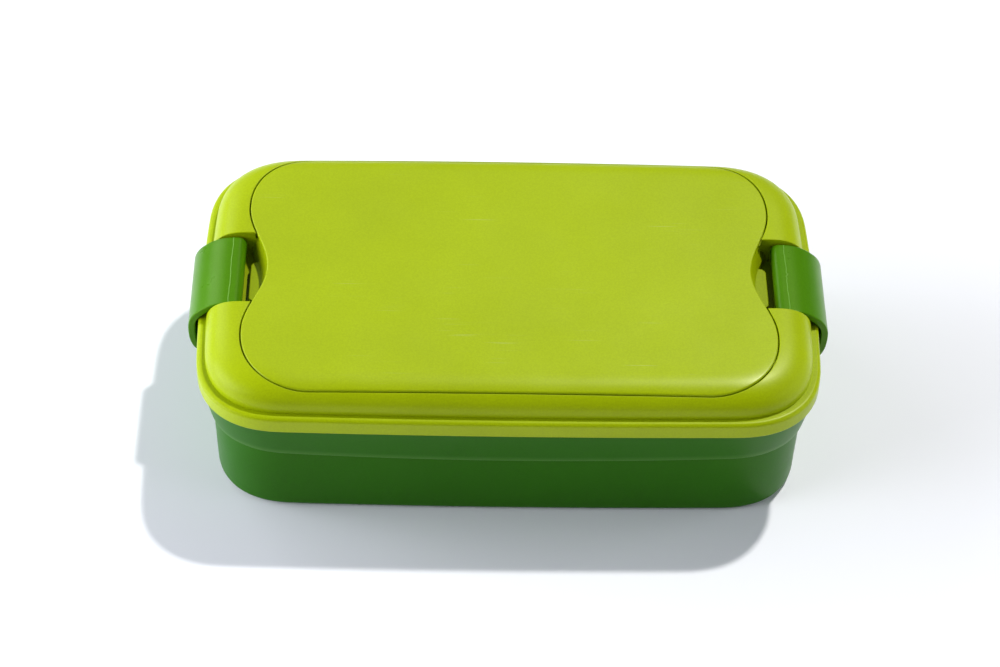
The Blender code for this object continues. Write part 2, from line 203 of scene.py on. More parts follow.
def body_outline(inset):
    """The tub and lid outline at an inset from the rim's widest line."""
    half_x = HALF_LENGTH - inset
    half_y = HALF_WIDTH - inset
    corner = CORNER - CORNER_SHRINK * inset
    end_of_bay = BAY_HALF_WIDTH + BOW_OF_LONG_SIDE
    straight = [(half_x, y + BOW_OF_LONG_SIDE) for y in BAY_Y]
    for i in range(1, END_STEPS):
        share = i / END_STEPS
        straight.append((half_x, end_of_bay + (half_y - corner - end_of_bay) * share))
    for i in range(CORNER_STEPS + 1):
        turn = 0.5 * math.pi * i / CORNER_STEPS
        x = half_x - corner + corner * abs(math.cos(turn)) ** (2 / CORNER_POWER)
        y = half_y - corner + corner * math.sin(turn) ** (2 / CORNER_POWER)
        straight.append((x, y))
    for i in range(1, LONG_STEPS + 1):
        share = i / LONG_STEPS
        straight.append(((half_x - corner) * (1 - share) + BOW_OF_END * share, half_y))
    bowed = []
    for x, y in straight:
        bowed.append((x - BOW_OF_END * (y / half_y) ** 2, y - BOW_OF_LONG_SIDE * (x / half_x) ** 2))
    return whole_loop(bowed)


def wave(y, inset):
    """The panel's end line: its x at a distance y from the middle, up to WAVE_REACH."""
    middle = PANEL_HALF_LENGTH - 0.5 * NOTCH_DEPTH - inset
    return middle - 0.5 * NOTCH_DEPTH * math.cos(math.pi * y / WAVE_REACH)


def panel_outline(inset):
    """The top panel's outline, column for column beside the body's."""
    quarter = [(wave(y, inset), y) for y in BAY_Y]
    for i in range(1, END_STEPS):
        y = BAY_HALF_WIDTH + (WAVE_REACH - BAY_HALF_WIDTH) * i / END_STEPS
        quarter.append((wave(y, inset), y))
    run_x = PANEL_CORNER_X - inset
    run_y = PANEL_HALF_WIDTH - inset - WAVE_REACH
    start_x = PANEL_HALF_LENGTH - PANEL_CORNER_X
    for i in range(CORNER_STEPS + 1):
        turn = 0.5 * math.pi * i / CORNER_STEPS
        x = start_x + run_x * abs(math.cos(turn)) ** (2 / PANEL_CORNER_POWER)
        y = WAVE_REACH + run_y * math.sin(turn) ** (2 / PANEL_CORNER_POWER)
        quarter.append((x, y))
    for i in range(1, LONG_STEPS + 1):
        quarter.append((start_x * (1 - i / LONG_STEPS), PANEL_HALF_WIDTH - inset))
    return whole_loop(quarter)


def inset_at(x, y):
    """How far inside the rim's widest line a point of the plan lies."""
    low = 0.0
    high = HALF_WIDTH
    for _ in range(26):
        inset = 0.5 * (low + high)
        half_x = HALF_LENGTH - inset
        half_y = HALF_WIDTH - inset
        corner = CORNER - CORNER_SHRINK * inset
        out_x = abs(x) + BOW_OF_END * (y / half_y) ** 2 - (half_x - corner)
        out_y = abs(y) + BOW_OF_LONG_SIDE * (x / half_x) ** 2 - (half_y - corner)
        if out_x <= 0 or out_y <= 0:
            inside = out_x < corner and out_y < corner
        else:
            inside = (out_x / corner) ** CORNER_POWER + (out_y / corner) ** CORNER_POWER < 1
        if inside:
            low = inset
        else:
            high = inset
    return low


def shoulder_height(inset):
    """The lid's outer surface above its rim, at an inset from the rim's widest line."""
    part = min(max((inset - SHOULDER_START) / SHOULDER_RUN, 0.0), 1.0)
    return RIM_TOP + (LID_TOP - RIM_TOP) * (1 - (1 - part) ** SHOULDER_POWER) ** (1 / SHOULDER_POWER)


def surface_ring(outline, drop=0.0):
    """An outline laid on the lid's outer surface, or a little under it."""
    return [(x, y, shoulder_height(inset_at(x, y)) - drop) for x, y in outline]


def level(outline, height):
    """An outline laid flat at a height."""
    return [(x, y, height) for x, y in outline]


def arc(centre, radius, first, last, steps):
    """Points of (inset, z) on a circle, whose angles are in degrees from the +inset direction."""
    points = []
    for i in range(steps + 1):
        turn = math.radians(first + (last - first) * i / steps)
        points.append((centre[0] + radius * math.cos(turn), centre[1] + radius * math.sin(turn)))
    return points


def rounded(points, radius, steps=4):
    """An open line of (inset, z) points whose corners are replaced by small curves."""
    made = [points[0]]
    for before, corner, after in zip(points, points[1:], points[2:]):
        back = Vector(before) - Vector(corner)
        ahead = Vector(after) - Vector(corner)
        turn = math.pi - back.angle(ahead)
        if turn < LEAST_TURN:
            made.append(corner)
            continue
        reach = min(radius * math.tan(0.5 * turn), 0.45 * back.length, 0.45 * ahead.length)
        start = Vector(corner) + back.normalized() * reach
        end = Vector(corner) + ahead.normalized() * reach
        for i in range(steps + 1):
            t = i / steps
            point = start * (1 - t) ** 2 + Vector(corner) * 2 * t * (1 - t) + end * t**2
            made.append(tuple(point))
    made.append(points[-1])
    return made


# ---- meshes --------------------------------------------------------------------------------------


def add_ring(mesh_data, ring):
    return [mesh_data.verts.new([value * MM for value in point]) for point in ring]


def bridge(mesh_data, lower, upper, columns=None):
    """Quads between two rings, over all their columns or over the given ones."""
    count = len(lower)
    for i in columns if columns is not None else range(count):
        j = (i + 1) % count
        corners = tuple(dict.fromkeys((lower[i], lower[j], upper[j], upper[i])))
        if len(corners) > 2:
            mesh_data.faces.new(corners)


def edges_round(mesh_data, ring):
    """The edges of a closed ring of vertices, made where they aren't there yet."""
    edges = []
    for start, end in zip(ring, ring[1:] + ring[:1]):
        edges.append(mesh_data.edges.get((start, end)) or mesh_data.edges.new((start, end)))
    return edges


def fill_between(mesh_data, outer, holes):
    """A flat face inside the outer ring, with the holes left open."""
    edges = edges_round(mesh_data, outer)
    for hole in holes:
        edges += edges_round(mesh_data, hole)
    bmesh.ops.triangle_fill(mesh_data, use_beauty=True, edges=edges)


def make_object(name, mesh_data):
    bmesh.ops.remove_doubles(mesh_data, verts=mesh_data.verts, dist=1e-6)
    bmesh.ops.dissolve_degenerate(mesh_data, edges=mesh_data.edges, dist=1e-6)
    bmesh.ops.recalc_face_normals(mesh_data, faces=mesh_data.faces)
    mesh = bpy.data.meshes.new(name)
    mesh_data.to_mesh(mesh)
    mesh_data.free()
    mesh.shade_smooth()
    mesh.set_sharp_from_angle(angle=SHARP_ANGLE)
    obj = bpy.data.objects.new(name, mesh)
    bpy.context.scene.collection.objects.link(obj)
    return obj


def loft(name, rings, ring_is_closed=False):
    """A solid through rings of points: capped at both ends, or joined end to end."""
    mesh_data = bmesh.new()
    made = [add_ring(mesh_data, ring) for ring in rings]
    for lower, upper in zip(made, made[1:]):
        bridge(mesh_data, lower, upper)
    if ring_is_closed:
        bridge(mesh_data, made[-1], made[0])
    else:
        mesh_data.faces.new(made[0][::-1])
        mesh_data.faces.new(made[-1])
    return make_object(name, mesh_data)


def round_marked_edges(obj, width):
    """Rounds the edges that carry a bevel weight."""
    modifier = obj.modifiers.new("rounding", "BEVEL")
    modifier.width = width * MM
    modifier.segments = EDGE_SEGMENTS
    modifier.limit_method = "WEIGHT"
    modifier.use_clamp_overlap = False


def even_shading(obj):
    """Flat faces stay flat and roundings stay round."""
    modifier = obj.modifiers.new("even_shading", "WEIGHTED_NORMAL")
    modifier.keep_sharp = True
    modifier.weight = 50


def bake_modifiers(obj):
    graph = bpy.context.evaluated_depsgraph_get()
    graph.update()
    baked = bpy.data.meshes.new_from_object(obj.evaluated_get(graph))
    old = obj.data
    obj.modifiers.clear()
    obj.data = baked
    baked.name = obj.name
    bpy.data.meshes.remove(old)


def combine(target, other, operation):
    """Adds or cuts away the other object, which is then removed."""
    modifier = target.modifiers.new("shape", "BOOLEAN")
    modifier.operation = operation
    modifier.solver = "EXACT"
    modifier.object = other
    bake_modifiers(target)
    bpy.data.objects.remove(other, do_unlink=True)


def rounded_prism(name, profile, half_width, radius, rows, ripple=None):
    """A closed (x, z) profile extruded along Y, whose two end faces have rounded edges."""
    count = len(profile)
    area = 0.0
    for i in range(count):
        x0, z0 = profile[i]
        x1, z1 = profile[(i + 1) % count]
        area += x0 * z1 - x1 * z0
    way = 1.0 if area > 0 else -1.0
    inward = []
    for i in range(count):
        before = Vector(profile[i]) - Vector(profile[i - 1])
        after = Vector(profile[(i + 1) % count]) - Vector(profile[i])
        along = before.normalized() + after.normalized()
        along.normalize()
        inward.append((-way * along.y, way * along.x))
    places = []
    for i in range(PRISM_ROUNDING_STEPS + 1):
        turn = 0.5 * math.pi * i / PRISM_ROUNDING_STEPS
        places.append((radius * (1 - math.cos(turn)) - half_width, radius * (1 - math.sin(turn))))
    for i in range(1, rows):
        places.append(((radius - half_width) + 2 * (half_width - radius) * i / rows, 0.0))
    places += [(-y, shrink) for y, shrink in reversed(places[: PRISM_ROUNDING_STEPS + 1])]
    rings = []
    for y, shrink in places:
        ring = []
        for (x, z), (in_x, in_z) in zip(profile, inward):
            lift = ripple(x, y, z) if ripple else 0.0
            ring.append((x + in_x * shrink, y, z + in_z * shrink + lift))
        rings.append(ring)
    return loft(name, rings)


def circle_profile(centre_x, centre_z, radius, steps=40):
    turns = [2 * math.pi * i / steps for i in range(steps)]
    return [(centre_x + radius * math.cos(t), centre_z + radius * math.sin(t)) for t in turns]


def mirrored(profile, side):
    return [(side * x, z) for x, z in profile]


# ---- tub -----------------------------------------------------------------------------------------


def collar_height(x, above):
    """A height above the collar's lower edge, which dips in the middle of each long side."""
    return COLLAR_HEIGHT - COLLAR_DIP * max(0.0, 1 - (x / COLLAR_DIP_REACH) ** 2) + above


def make_tub():
    # Each line is of (inset, height) points; the collar's heights are from its wavy lower edge
    foot = [(15.5, 0.8), (15.0, 0.0)] + arc((7.6, 2.4), 2.4, -90, -180, 7)
    rings = [level(body_outline(inset), height) for inset, height in foot]
    collar = [(5.0, -19.0), (4.8, -10.0), (4.6, -COLLAR_LIP), (3.3, COLLAR_LIP), (2.8, 3.0)]
    for inset, above in rounded(collar, COLLAR_ROUNDING):
        rings.append([(x, y, collar_height(x, above)) for x, y in body_outline(inset)])
    upper = [(2.1, 37.9), (0.95, 44.3), (1.25, TUB_LEDGE), (TUB_WALL_OUTER, TUB_LEDGE)]
    upper += [(TUB_WALL_OUTER, TUB_TOP), (TUB_WALL_INNER, TUB_TOP)]
    inside = [(TUB_WALL_INNER, 43.0), (5.75, 34.0), (6.75, 29.0)] + arc((9.85, 5.0), 2.8, 180, 270, 6)
    for inset, height in rounded(upper + inside, EDGE_RADIUS):
        rings.append(level(body_outline(inset), height))
    tub = loft("tub_moulding", rings)
    for side in (-1, 1):
        profile = [
            (CATCH_INNER, CATCH_BOTTOM),
            (CATCH_OUTER, CATCH_BOTTOM),
            (CATCH_OUTER, CATCH_BOTTOM + CATCH_LIP),
            (CATCH_INNER, CATCH_TOP),
        ]
        catch = rounded_prism("catch", mirrored(profile, side), CATCH_HALF_WIDTH, CATCH_ROUNDING, 2)
        combine(tub, catch, "UNION")
    # Painted highlight: a pale line in the colour along the collar's lower edge, where light would catch it
    rubbing_and_painted_highlight = tub.data.attributes.new("seam_and_painted_highlight", "FLOAT", "POINT")
    for vert, share in zip(tub.data.vertices, rubbing_and_painted_highlight.data):
        x, y, z = (value / MM for value in vert.co)
        off = abs(z - collar_height(x, COLLAR_LIP)) / COLLAR_LIP
        if off < 1 and inset_at(x, y) < COLLAR_INSET:
            share.value = 1 - off**2
    even_shading(tub)
    return tub


# ---- lid -----------------------------------------------------------------------------------------


def pocket_wall(y):
    """The x of the finger pocket's inner wall at its floor: the platform's edge, or the wall beside it."""
    wall = wave(y, 0.0) + POCKET_SLOPE
    if y > PLATFORM_HALF_WIDTH:
        return wall
    past_corner = max(y - (PLATFORM_HALF_WIDTH - PLATFORM_CORNER), 0.0)
    bulge = math.sqrt(max(PLATFORM_CORNER**2 - past_corner**2, 0.0))
    return max(wall, PLATFORM_OUTER - PLATFORM_CORNER + bulge)


def bay_profile(y):
    """(x, z) points across a latch bay, from its sill to the panel's seat, at a y from the middle."""
    wall = wave(y, 0.0)
    return [
        (BAY_OUTER, BAY_SILL),
        (BAY_OUTER, BAY_FLOOR),
        (0.5 * (BAY_OUTER + pocket_wall(y)), BAY_FLOOR),
        (pocket_wall(y), BAY_FLOOR),
        (pocket_wall(y), SLOPE_BOTTOM),
        (wall + POCKET_SLOPE, SLOPE_BOTTOM),
        (wall + 0.5 * (POCKET_SLOPE - POCKET_OVERLAP), 0.5 * (SLOPE_BOTTOM + SLOPE_TOP)),
        (wall - POCKET_OVERLAP, SLOPE_TOP),
        (wall - POCKET_OVERLAP, SEAT),
    ]


def lid_underside():
    """(inset, z) points from the plug's inner side out under the rim and up to the shoulder."""
    line = [(PLUG_INNER, LID_UNDERSIDE), (PLUG_INNER, PLUG_BOTTOM), (PLUG_OUTER, PLUG_BOTTOM)]
    line += [(PLUG_OUTER, CHANNEL_TOP), (SKIRT_INNER, CHANNEL_TOP), (SKIRT_INNER, RIM_BOTTOM)]
    line.append((SKIRT_FOOT, RIM_BOTTOM))
    lower_centre = (RIM_LOWER_RADIUS, RIM_BOTTOM + RIM_LOWER_RADIUS)
    upper_centre = (RIM_UPPER_RADIUS, RIM_TOP - RIM_UPPER_RADIUS)
    line = rounded(line, EDGE_RADIUS, 3) + arc(lower_centre, RIM_LOWER_RADIUS, -90, -180, 5)
    return line + arc(upper_centre, RIM_UPPER_RADIUS, 180, 90, 7) + [(SHOULDER_START, RIM_TOP)]


def shoulder_rings():
    """Rings up the shoulder from the rim, over the rounded edge beside the panel and down to its seat."""
    start = body_outline(SHOULDER_START)
    end = panel_outline(-PANEL_GAP - EDGE_RADIUS)
    rings = []
    for i in range(1, SHOULDER_STEPS + 1):
        share = 1 - math.cos(0.5 * math.pi * i / SHOULDER_STEPS)
        between = [(a[0] + (b[0] - a[0]) * share, a[1] + (b[1] - a[1]) * share) for a, b in zip(start, end)]
        rings.append(surface_ring(between))
    for i in range(1, SEAT_EDGE_STEPS + 1):
        turn = 0.5 * math.pi * i / SEAT_EDGE_STEPS
        edge = panel_outline(-PANEL_GAP - EDGE_RADIUS * (1 - math.sin(turn)))
        rings.append(surface_ring(edge, EDGE_RADIUS * (1 - math.cos(turn))))
    rings.append(level(panel_outline(-PANEL_GAP), SEAT))
    return rings


def add_bay_rings(mesh_data):
    """A ring of vertices for each point of the bay's profile; rings share them where two points meet."""
    rings = []
    for row in range(len(bay_profile(0.0))):
        ring = []
        for x, y in body_outline(SHOULDER_START):
            place_x, place_z = bay_profile(min(abs(y), BAY_HALF_WIDTH))[row]
            ring.append((math.copysign(place_x, x), y, place_z))
        made = add_ring(mesh_data, ring)
        if rings:
            made = [old if (old.co - new.co).length < 1e-6 else new for old, new in zip(rings[-1], made)]
        rings.append(made)
    return rings


def add_bay_end(mesh_data, column, dome, bays):
    """The wall at one end of a latch bay, with the blind hole that a trunnion turns in."""
    corner = dome[0][column].co
    side = math.copysign(1.0, corner.x)
    end_way = math.copysign(1.0, corner.y)
    outline = [ring[column] for ring in dome] + [ring[column] for ring in reversed(bays)]
    circle = mirrored(circle_profile(PIVOT_X, PIVOT_Z, TRUNNION_HOLE_RADIUS, 24), side)
    mouth = add_ring(mesh_data, [(x, end_way * BAY_HALF_WIDTH, z) for x, z in circle])
    bottom = add_ring(mesh_data, [(x, end_way * TRUNNION_HOLE_END, z) for x, z in circle])
    fill_between(mesh_data, list(dict.fromkeys(outline)), [mouth])
    bridge(mesh_data, mouth, bottom)
    mesh_data.faces.new(bottom)


def add_cavity(mesh_data, side, end_way):
    """A hollow up into the lid, and the ring round its mouth."""
    near_y, far_y = CAVITY_Y
    corners = [(x, near_y) for x in CAVITY_X] + [(x, far_y) for x in reversed(CAVITY_X)]
    plan = [(side * x, end_way * y) for x, y in corners]
    mouth = add_ring(mesh_data, level(plan, LID_UNDERSIDE))
    top = add_ring(mesh_data, level(plan, CAVITY_TOP))
    bridge(mesh_data, mouth, top)
    mesh_data.faces.new(top)
    return mouth


def make_lid():
    mesh_data = bmesh.new()
    under = [add_ring(mesh_data, level(body_outline(inset), height)) for inset, height in lid_underside()]
    for lower, upper in zip(under, under[1:]):
        bridge(mesh_data, lower, upper)
    rim = under[-1]
    count = len(rim)
    bay_columns = set()
    bay_edges = []
    for middle in (0, 2 * QUARTER):
        bay_columns |= {(middle + i) % count for i in range(-BAY_COLUMNS, BAY_COLUMNS)}
        bay_edges += [(middle - BAY_COLUMNS) % count, middle + BAY_COLUMNS]
    dome_columns = [i for i in range(count) if i not in bay_columns]

    ledge = add_ring(mesh_data, level(panel_outline(COMPARTMENT_INSET), SEAT))
    floor = add_ring(mesh_data, level(panel_outline(COMPARTMENT_INSET), COMPARTMENT_FLOOR))
    dome = [rim] + [add_ring(mesh_data, ring) for ring in shoulder_rings()] + [ledge]
    for lower, upper in zip(dome, dome[1:]):
        bridge(mesh_data, lower, upper, dome_columns)
    bridge(mesh_data, ledge, floor)
    fill_between(mesh_data, floor, [])
    weight = mesh_data.edges.layers.float.new("bevel_weight_edge")

    bays = add_bay_rings(mesh_data)
    across = [rim] + bays + [ledge]
    for lower, upper in zip(across, across[1:]):
        bridge(mesh_data, lower, upper, sorted(bay_columns))
    for row in (bays[SILL_ROW], bays[PLATFORM_EDGE_ROW]):
        for column in bay_columns:
            edge = mesh_data.edges.get((row[column], row[(column + 1) % count]))
            if edge:
                edge[weight] = 1.0
    for column in bay_edges:
        for lower, upper in zip(dome[:-2], dome[1:-1]):
            mesh_data.edges.get((lower[column], upper[column]))[weight] = 1.0
        add_bay_end(mesh_data, column, dome, bays)

    mouths = [add_cavity(mesh_data, side, end_way) for side in (-1, 1) for end_way in (-1, 1)]
    fill_between(mesh_data, under[0], mouths)
    for vert in [vert for vert in mesh_data.verts if not vert.link_faces]:
        mesh_data.verts.remove(vert)
    lid = make_object("lid_moulding", mesh_data)
    round_marked_edges(lid, EDGE_RADIUS)
    bake_modifiers(lid)
    # The rounding swells a little above the flat top, and is pressed back to it
    for vert in lid.data.vertices:
        vert.co.z = min(vert.co.z, LID_TOP * MM)
    even_shading(lid)
    return lid


def make_seal():
    outer = TUB_WALL_OUTER + SEAL_ROUNDING
    inner = TUB_WALL_INNER - SEAL_ROUNDING
    bottom = TUB_TOP + SEAL_CLEARANCE + SEAL_ROUNDING
    top = CHANNEL_TOP - SEAL_CLEARANCE - SEAL_ROUNDING
    section = arc((outer, bottom), SEAL_ROUNDING, 270, 180, 4)
    section += arc((outer, top), SEAL_ROUNDING, 180, 90, 4)
    section += arc((inner, top), SEAL_ROUNDING, 90, 0, 4)
    section += arc((inner, bottom), SEAL_ROUNDING, 0, -90, 4)
    return loft("seal_moulding", [level(body_outline(i), z) for i, z in section], ring_is_closed=True)


def make_panel():
    rib = [(RIB_HOLLOW, PANEL_HOLLOW_TOP), (RIB_INNER, PANEL_HOLLOW_TOP), (RIB_INNER, RIB_BOTTOM)]
    rib += [(RIB_OUTER, RIB_BOTTOM), (RIB_OUTER, PANEL_UNDERSIDE)]
    rib += [(UNDERSIDE_INNER, PANEL_UNDERSIDE), (UNDERSIDE_OUTER, PANEL_UNDERSIDE)]
    rings = [level(panel_outline(inset), height) for inset, height in rounded(rib, EDGE_RADIUS, 3)]
    rings.append(surface_ring(panel_outline(0.0), PANEL_EDGE_DROP))
    for i in range(6):
        turn = 0.1 * math.pi * i
        edge = panel_outline(PANEL_ROUNDING * (1 - math.cos(turn)))
        rings.append(surface_ring(edge, PANEL_ROUNDING * (1 - math.sin(turn))))
    for inset in (1.0, 1.7, 2.5, 3.3, 4.2, 5.2, 6.4, RIB_HOLLOW):
        rings.append(surface_ring(panel_outline(inset)))
    panel = loft("panel_moulding", rings)
    even_shading(panel)
    return panel


# ---- latches -------------------------------------------------------------------------------------


def smooth_through(points, steps):
    """Points on a Catmull-Rom curve through the given ones."""
    padded = [points[0]] + points + [points[-1]]
    curve = []
    for k in range(len(points) - 1):
        before, start, end, after = padded[k : k + 4]
        for i in range(steps):
            t = i / steps
            place = []
            for p0, p1, p2, p3 in zip(before, start, end, after):
                value = 2 * p1 + (p2 - p0) * t
                value += (2 * p0 - 5 * p1 + 4 * p2 - p3) * t**2
                value += (3 * p1 - p0 - 3 * p2 + p3) * t**3
                place.append(0.5 * value)
            curve.append(tuple(place))
    curve.append(points[-1])
    return curve


def latch_profile():
    """The latch's side view: a barrel, a strap over the shoulder and rim, and a hook that turns in."""
    outer = [(98.1, 59.8), (101.8, 59.6), (105.4, 58.6), (109.1, 56.5), (112.4, 53.5), (114.2, 50.0)]
    outer += [(114.68, 46.0), (114.4, 41.4), (113.4, 37.8), (112.0, 35.9), (110.4, 35.3)]
    inner = [(109.3, 36.1), (109.3, 37.8), (110.4, 38.3), (111.5, 39.6), (112.0, 42.5), (112.1, 46.8)]
    inner += [(111.8, 49.6), (110.5, 51.9), (107.7, 54.6), (104.6, 56.5), (101.6, 57.4)]
    profile = []
    curve = smooth_through(outer, 8)
    for start, end in zip(curve, curve[1:]):
        near_flash = abs(0.5 * (start[0] + end[0]) - FLASH_X) < FLASH_REACH and start[1] > PIVOT_Z
        pieces = FLASH_PIECES if near_flash else 1
        for i in range(pieces):
            share = i / pieces
            profile.append((start[0] + (end[0] - start[0]) * share, start[1] + (end[1] - start[1]) * share))
    profile.append(curve[-1])
    profile += smooth_through(inner, 6)
    for i in range(1, BARREL_STEPS):
        turn = math.radians(BARREL_START - BARREL_SWEEP * i / BARREL_STEPS)
        profile.append((PIVOT_X + BARREL_RADIUS * math.cos(turn), PIVOT_Z + BARREL_RADIUS * math.sin(turn)))
    return profile


def flash_line(y, gate):
    """The x of the thin moulding seam on the latch's top, and its height, at a distance y.

    The gate, where the moulding was filled, leaves the seam wavy and raised in one place.
    """
    x = FLASH_X + 0.10 * math.sin(0.37 * y) + 0.05 * math.sin(1.31 * y + 0.8)
    height = FLASH_HEIGHT * (0.75 + 0.25 * math.sin(0.9 * y + 2.0))
    if gate:
        near = math.exp(-(((y - GATE_Y) / GATE_WIDTH) ** 2))
        x += GATE_SWAY * near * math.sin(2.6 * (y - GATE_Y))
        height += GATE_HEIGHT * near
    return x, height


def flash_share(x, y, z, gate):
    """1 on the seam's crest, falling to 0 beside it."""
    if z < PIVOT_Z:
        return 0.0
    line, _ = flash_line(y, gate)
    return max(0.0, 1 - ((abs(x) - line) / FLASH_HALF_WIDTH) ** 2)


def make_latch(side, name):
    gate = side > 0

    def ripple(x, y, z):
        return flash_line(y, gate)[1] * flash_share(x, y, z, gate)

    profile = mirrored(latch_profile(), side)
    latch = rounded_prism(name, profile, LATCH_HALF_WIDTH, LATCH_ROUNDING, LATCH_ROWS, ripple)
    trunnion = mirrored(circle_profile(PIVOT_X, PIVOT_Z, TRUNNION_RADIUS, 28), side)
    combine(latch, rounded_prism("trunnion", trunnion, TRUNNION_END, TRUNNION_ROUNDING, 1), "UNION")
    latch.data.shade_smooth()
    latch.data.set_sharp_from_angle(angle=SHARP_ANGLE)
    seam_and_painted_highlight = latch.data.attributes.new("seam_and_painted_highlight", "FLOAT", "POINT")
    for vert, share in zip(latch.data.vertices, seam_and_painted_highlight.data):
        x, y, z = (value / MM for value in vert.co)
        share.value = flash_share(x, y, z - FLASH_LIFT, gate)
    even_shading(latch)
    return latch


# ---- cutlery -------------------------------------------------------------------------------------


def smooth_step(value, start, end):
    t = min(max((value - start) / (end - start), 0.0), 1.0)
    return t * t * (3 - 2 * t)


def rounded_end(part, from_part):
    """Falls from 1 to nearly 0 between from_part and the end of the implement."""
    t = min(max((part - from_part) / (1 - from_part), 0.0), 1.0)
    return math.sqrt(max(1 - t**2, 0.02))


def handle_half_width(part):
    start = math.sqrt(max(1 - (1 - min(part / 0.06, 1.0)) ** 2, 0.04))
    return start * (HANDLE_HALF_WIDTH - HANDLE_NARROWING * smooth_step(part, 0.08, 0.6))


def spoon_half_width(part):
    bowl = BOWL_HALF_WIDTH * smooth_step(part, 0.64, 0.86) * rounded_end(part, 0.84)
    return max(handle_half_width(part) * rounded_end(part, 0.9), bowl)


def spoon_rise(part, share):
    bowl = smooth_step(part, 0.66, 0.8) * (1 - smooth_step(part, 0.84, 1.0))
    return BOWL_HEIGHT * (1 - bowl * (1 - share**2)) * smooth_step(part, 0.5, 0.68)


def fork_half_width(part):
    head = FORK_HEAD_HALF_WIDTH * smooth_step(part, 0.62, 0.78)
    return max(handle_half_width(part), head) * (1 - 0.1 * smooth_step(part, 0.9, 1.0))


def knife_half_width(part):
    blade = BLADE_HALF_WIDTH * smooth_step(part, 0.42, 0.56) * rounded_end(part, 0.82)
    return max(handle_half_width(part) * rounded_end(part, 0.88), blade)


def flat_rise(part, share):
    return 0.0


def make_implement(name, middle_y, half_width, rise, thickness):
    """A moulded implement along X with rounded edges.

    half_width takes the share of the length, and rise takes that and the share of the half width.
    """
    shares = []
    for j in range(CROSSWISE_STEPS + 1):
        shares.append(math.sin(0.5 * math.pi * (2 * j / CROSSWISE_STEPS - 1)))
    underside = [(-1, share) for share in shares]
    topside = [(1, share) for share in reversed(shares[1:-1])]
    mesh_data = bmesh.new()
    made = []
    for i in range(LENGTHWISE_STEPS + 1):
        part = i / LENGTHWISE_STEPS
        row = []
        for way, share in underside + topside:
            swell = (1 - share**6) ** (1 / 3) * min(1.0, 0.35 + 12 * min(part, 1 - part))
            x = CUTLERY_LENGTH * (part - 0.5)
            y = middle_y + share * half_width(part)
            z = CUTLERY_REST + rise(part, share) + 0.5 * thickness * (1 + way * swell)
            row.append((x, y, z))
        made.append(add_ring(mesh_data, row[::-1]))
    for lower, upper in zip(made, made[1:]):
        bridge(mesh_data, lower, upper)
    mesh_data.faces.new(made[0])
    mesh_data.faces.new(made[-1][::-1])
    implement = make_object(name, mesh_data)
    even_shading(implement)
    return implement


def tine_slot(middle_y):
    """A cutter for the gap between two tines, with a round inner end."""
    plan = [(SLOT_END, -SLOT_HALF_WIDTH), (SLOT_END, SLOT_HALF_WIDTH)]
    for k in range(9):
        turn = math.pi * (0.5 + k / 8)
        x = SLOT_START + SLOT_HALF_WIDTH + SLOT_HALF_WIDTH * math.cos(turn)
        plan.append((x, SLOT_HALF_WIDTH * math.sin(turn)))
    plan = [(x, y + middle_y) for x, y in plan]
    return loft("slot", [level(plan, SLOT_BOTTOM), level(plan, SLOT_TOP)])


def make_cutlery():
    spoon = make_implement("spoon_moulding", CUTLERY_SPACING, spoon_half_width, spoon_rise, SPOON_THICKNESS)
    fork = make_implement("fork_moulding", 0.0, fork_half_width, flat_rise, FLAT_THICKNESS)
    for i in (-1, 0, 1):
        combine(fork, tine_slot(i * TINE_PITCH), "DIFFERENCE")
    even_shading(fork)
    knife = make_implement("knife_moulding", -CUTLERY_SPACING, knife_half_width, flat_rise, FLAT_THICKNESS)
    return spoon, fork, knife


# ---- materials -----------------------------------------------------------------------------------

BLACK = (0.0, 0.0, 0.0, 1.0)
WHITE = (1.0, 1.0, 1.0, 1.0)
LIME = (0.355, 0.455, 0.001)
GREEN = (0.020, 0.127, 0.001)
LATCH_GREEN = (0.062, 0.205, 0.001)
# The colour of the painted highlight along the tub collar's lower edge
PAINTED_HIGHLIGHT_GREEN = (0.11, 0.27, 0.05)
PALE_LATCH_GREEN = (0.26, 0.52, 0.10)
SILICONE = (0.72, 0.76, 0.70, 1.0)
DUSTY_SILICONE = (0.60, 0.64, 0.58, 1.0)
SCRATCH_COLOUR = (0.85, 0.88, 0.75, 1.0)
FLOOR_COLOUR = (0.95, 0.95, 0.96, 1.0)
PLASTIC_IOR = 1.49

# Scales are in features per metre, depths in millimetres; each scratch direction is a turn and a scale
CLOUD_SCALE = 16.0
CLOUD_CONTRAST = 0.05
SPECK_SCALE = 1600.0
SPECK_SHARE = 0.05
SINK_SCALE = 20.0
SINK_DEPTH = 0.25
GRAIN_SCALE = 1300.0
GRAIN_DEPTH = 0.03
RUB_SCALE = 55.0
RUB_POLISH = 0.03
RUB_DULLING = 0.04
SCRATCH_DIRECTIONS = ((0.35, 1500.0), (-1.1, 1900.0))
SCRATCH_DEPTH = 0.02
SCRATCH_SHARE = 0.08
SCRATCH_DULLING = 0.12
PATCH_SCALE = 35.0
SEAM_AND_HIGHLIGHT_SHARE = 0.6
DUST_SCALE = 220.0
SILICONE_SCALE = 900.0
SILICONE_DEPTH = 0.04


def add_node(tree, kind, inputs=(), **settings):
    """A shader node: inputs are (socket, value or output socket) pairs."""
    made = tree.nodes.new(kind)
    for key, value in settings.items():
        setattr(made, key, value)
    for key, value in inputs:
        if isinstance(value, bpy.types.NodeSocket):
            tree.links.new(value, made.inputs[key])
        else:
            made.inputs[key].default_value = value
    return made


def noise(tree, place, scale, detail=2.0, roughness=0.5):
    made = add_node(tree, "ShaderNodeTexNoise", (("Vector", place), ("Scale", scale), ("Detail", detail)))
    made.inputs["Roughness"].default_value = roughness
    return made.outputs["Fac"]


def ranged(tree, value, from_low, from_high, to_low, to_high):
    pairs = (("Value", value), ("From Min", from_low), ("From Max", from_high))
    pairs += (("To Min", to_low), ("To Max", to_high))
    return add_node(tree, "ShaderNodeMapRange", pairs, clamp=True).outputs["Result"]


def maths(tree, operation, first, second):
    return add_node(tree, "ShaderNodeMath", ((0, first), (1, second)), operation=operation).outputs[0]


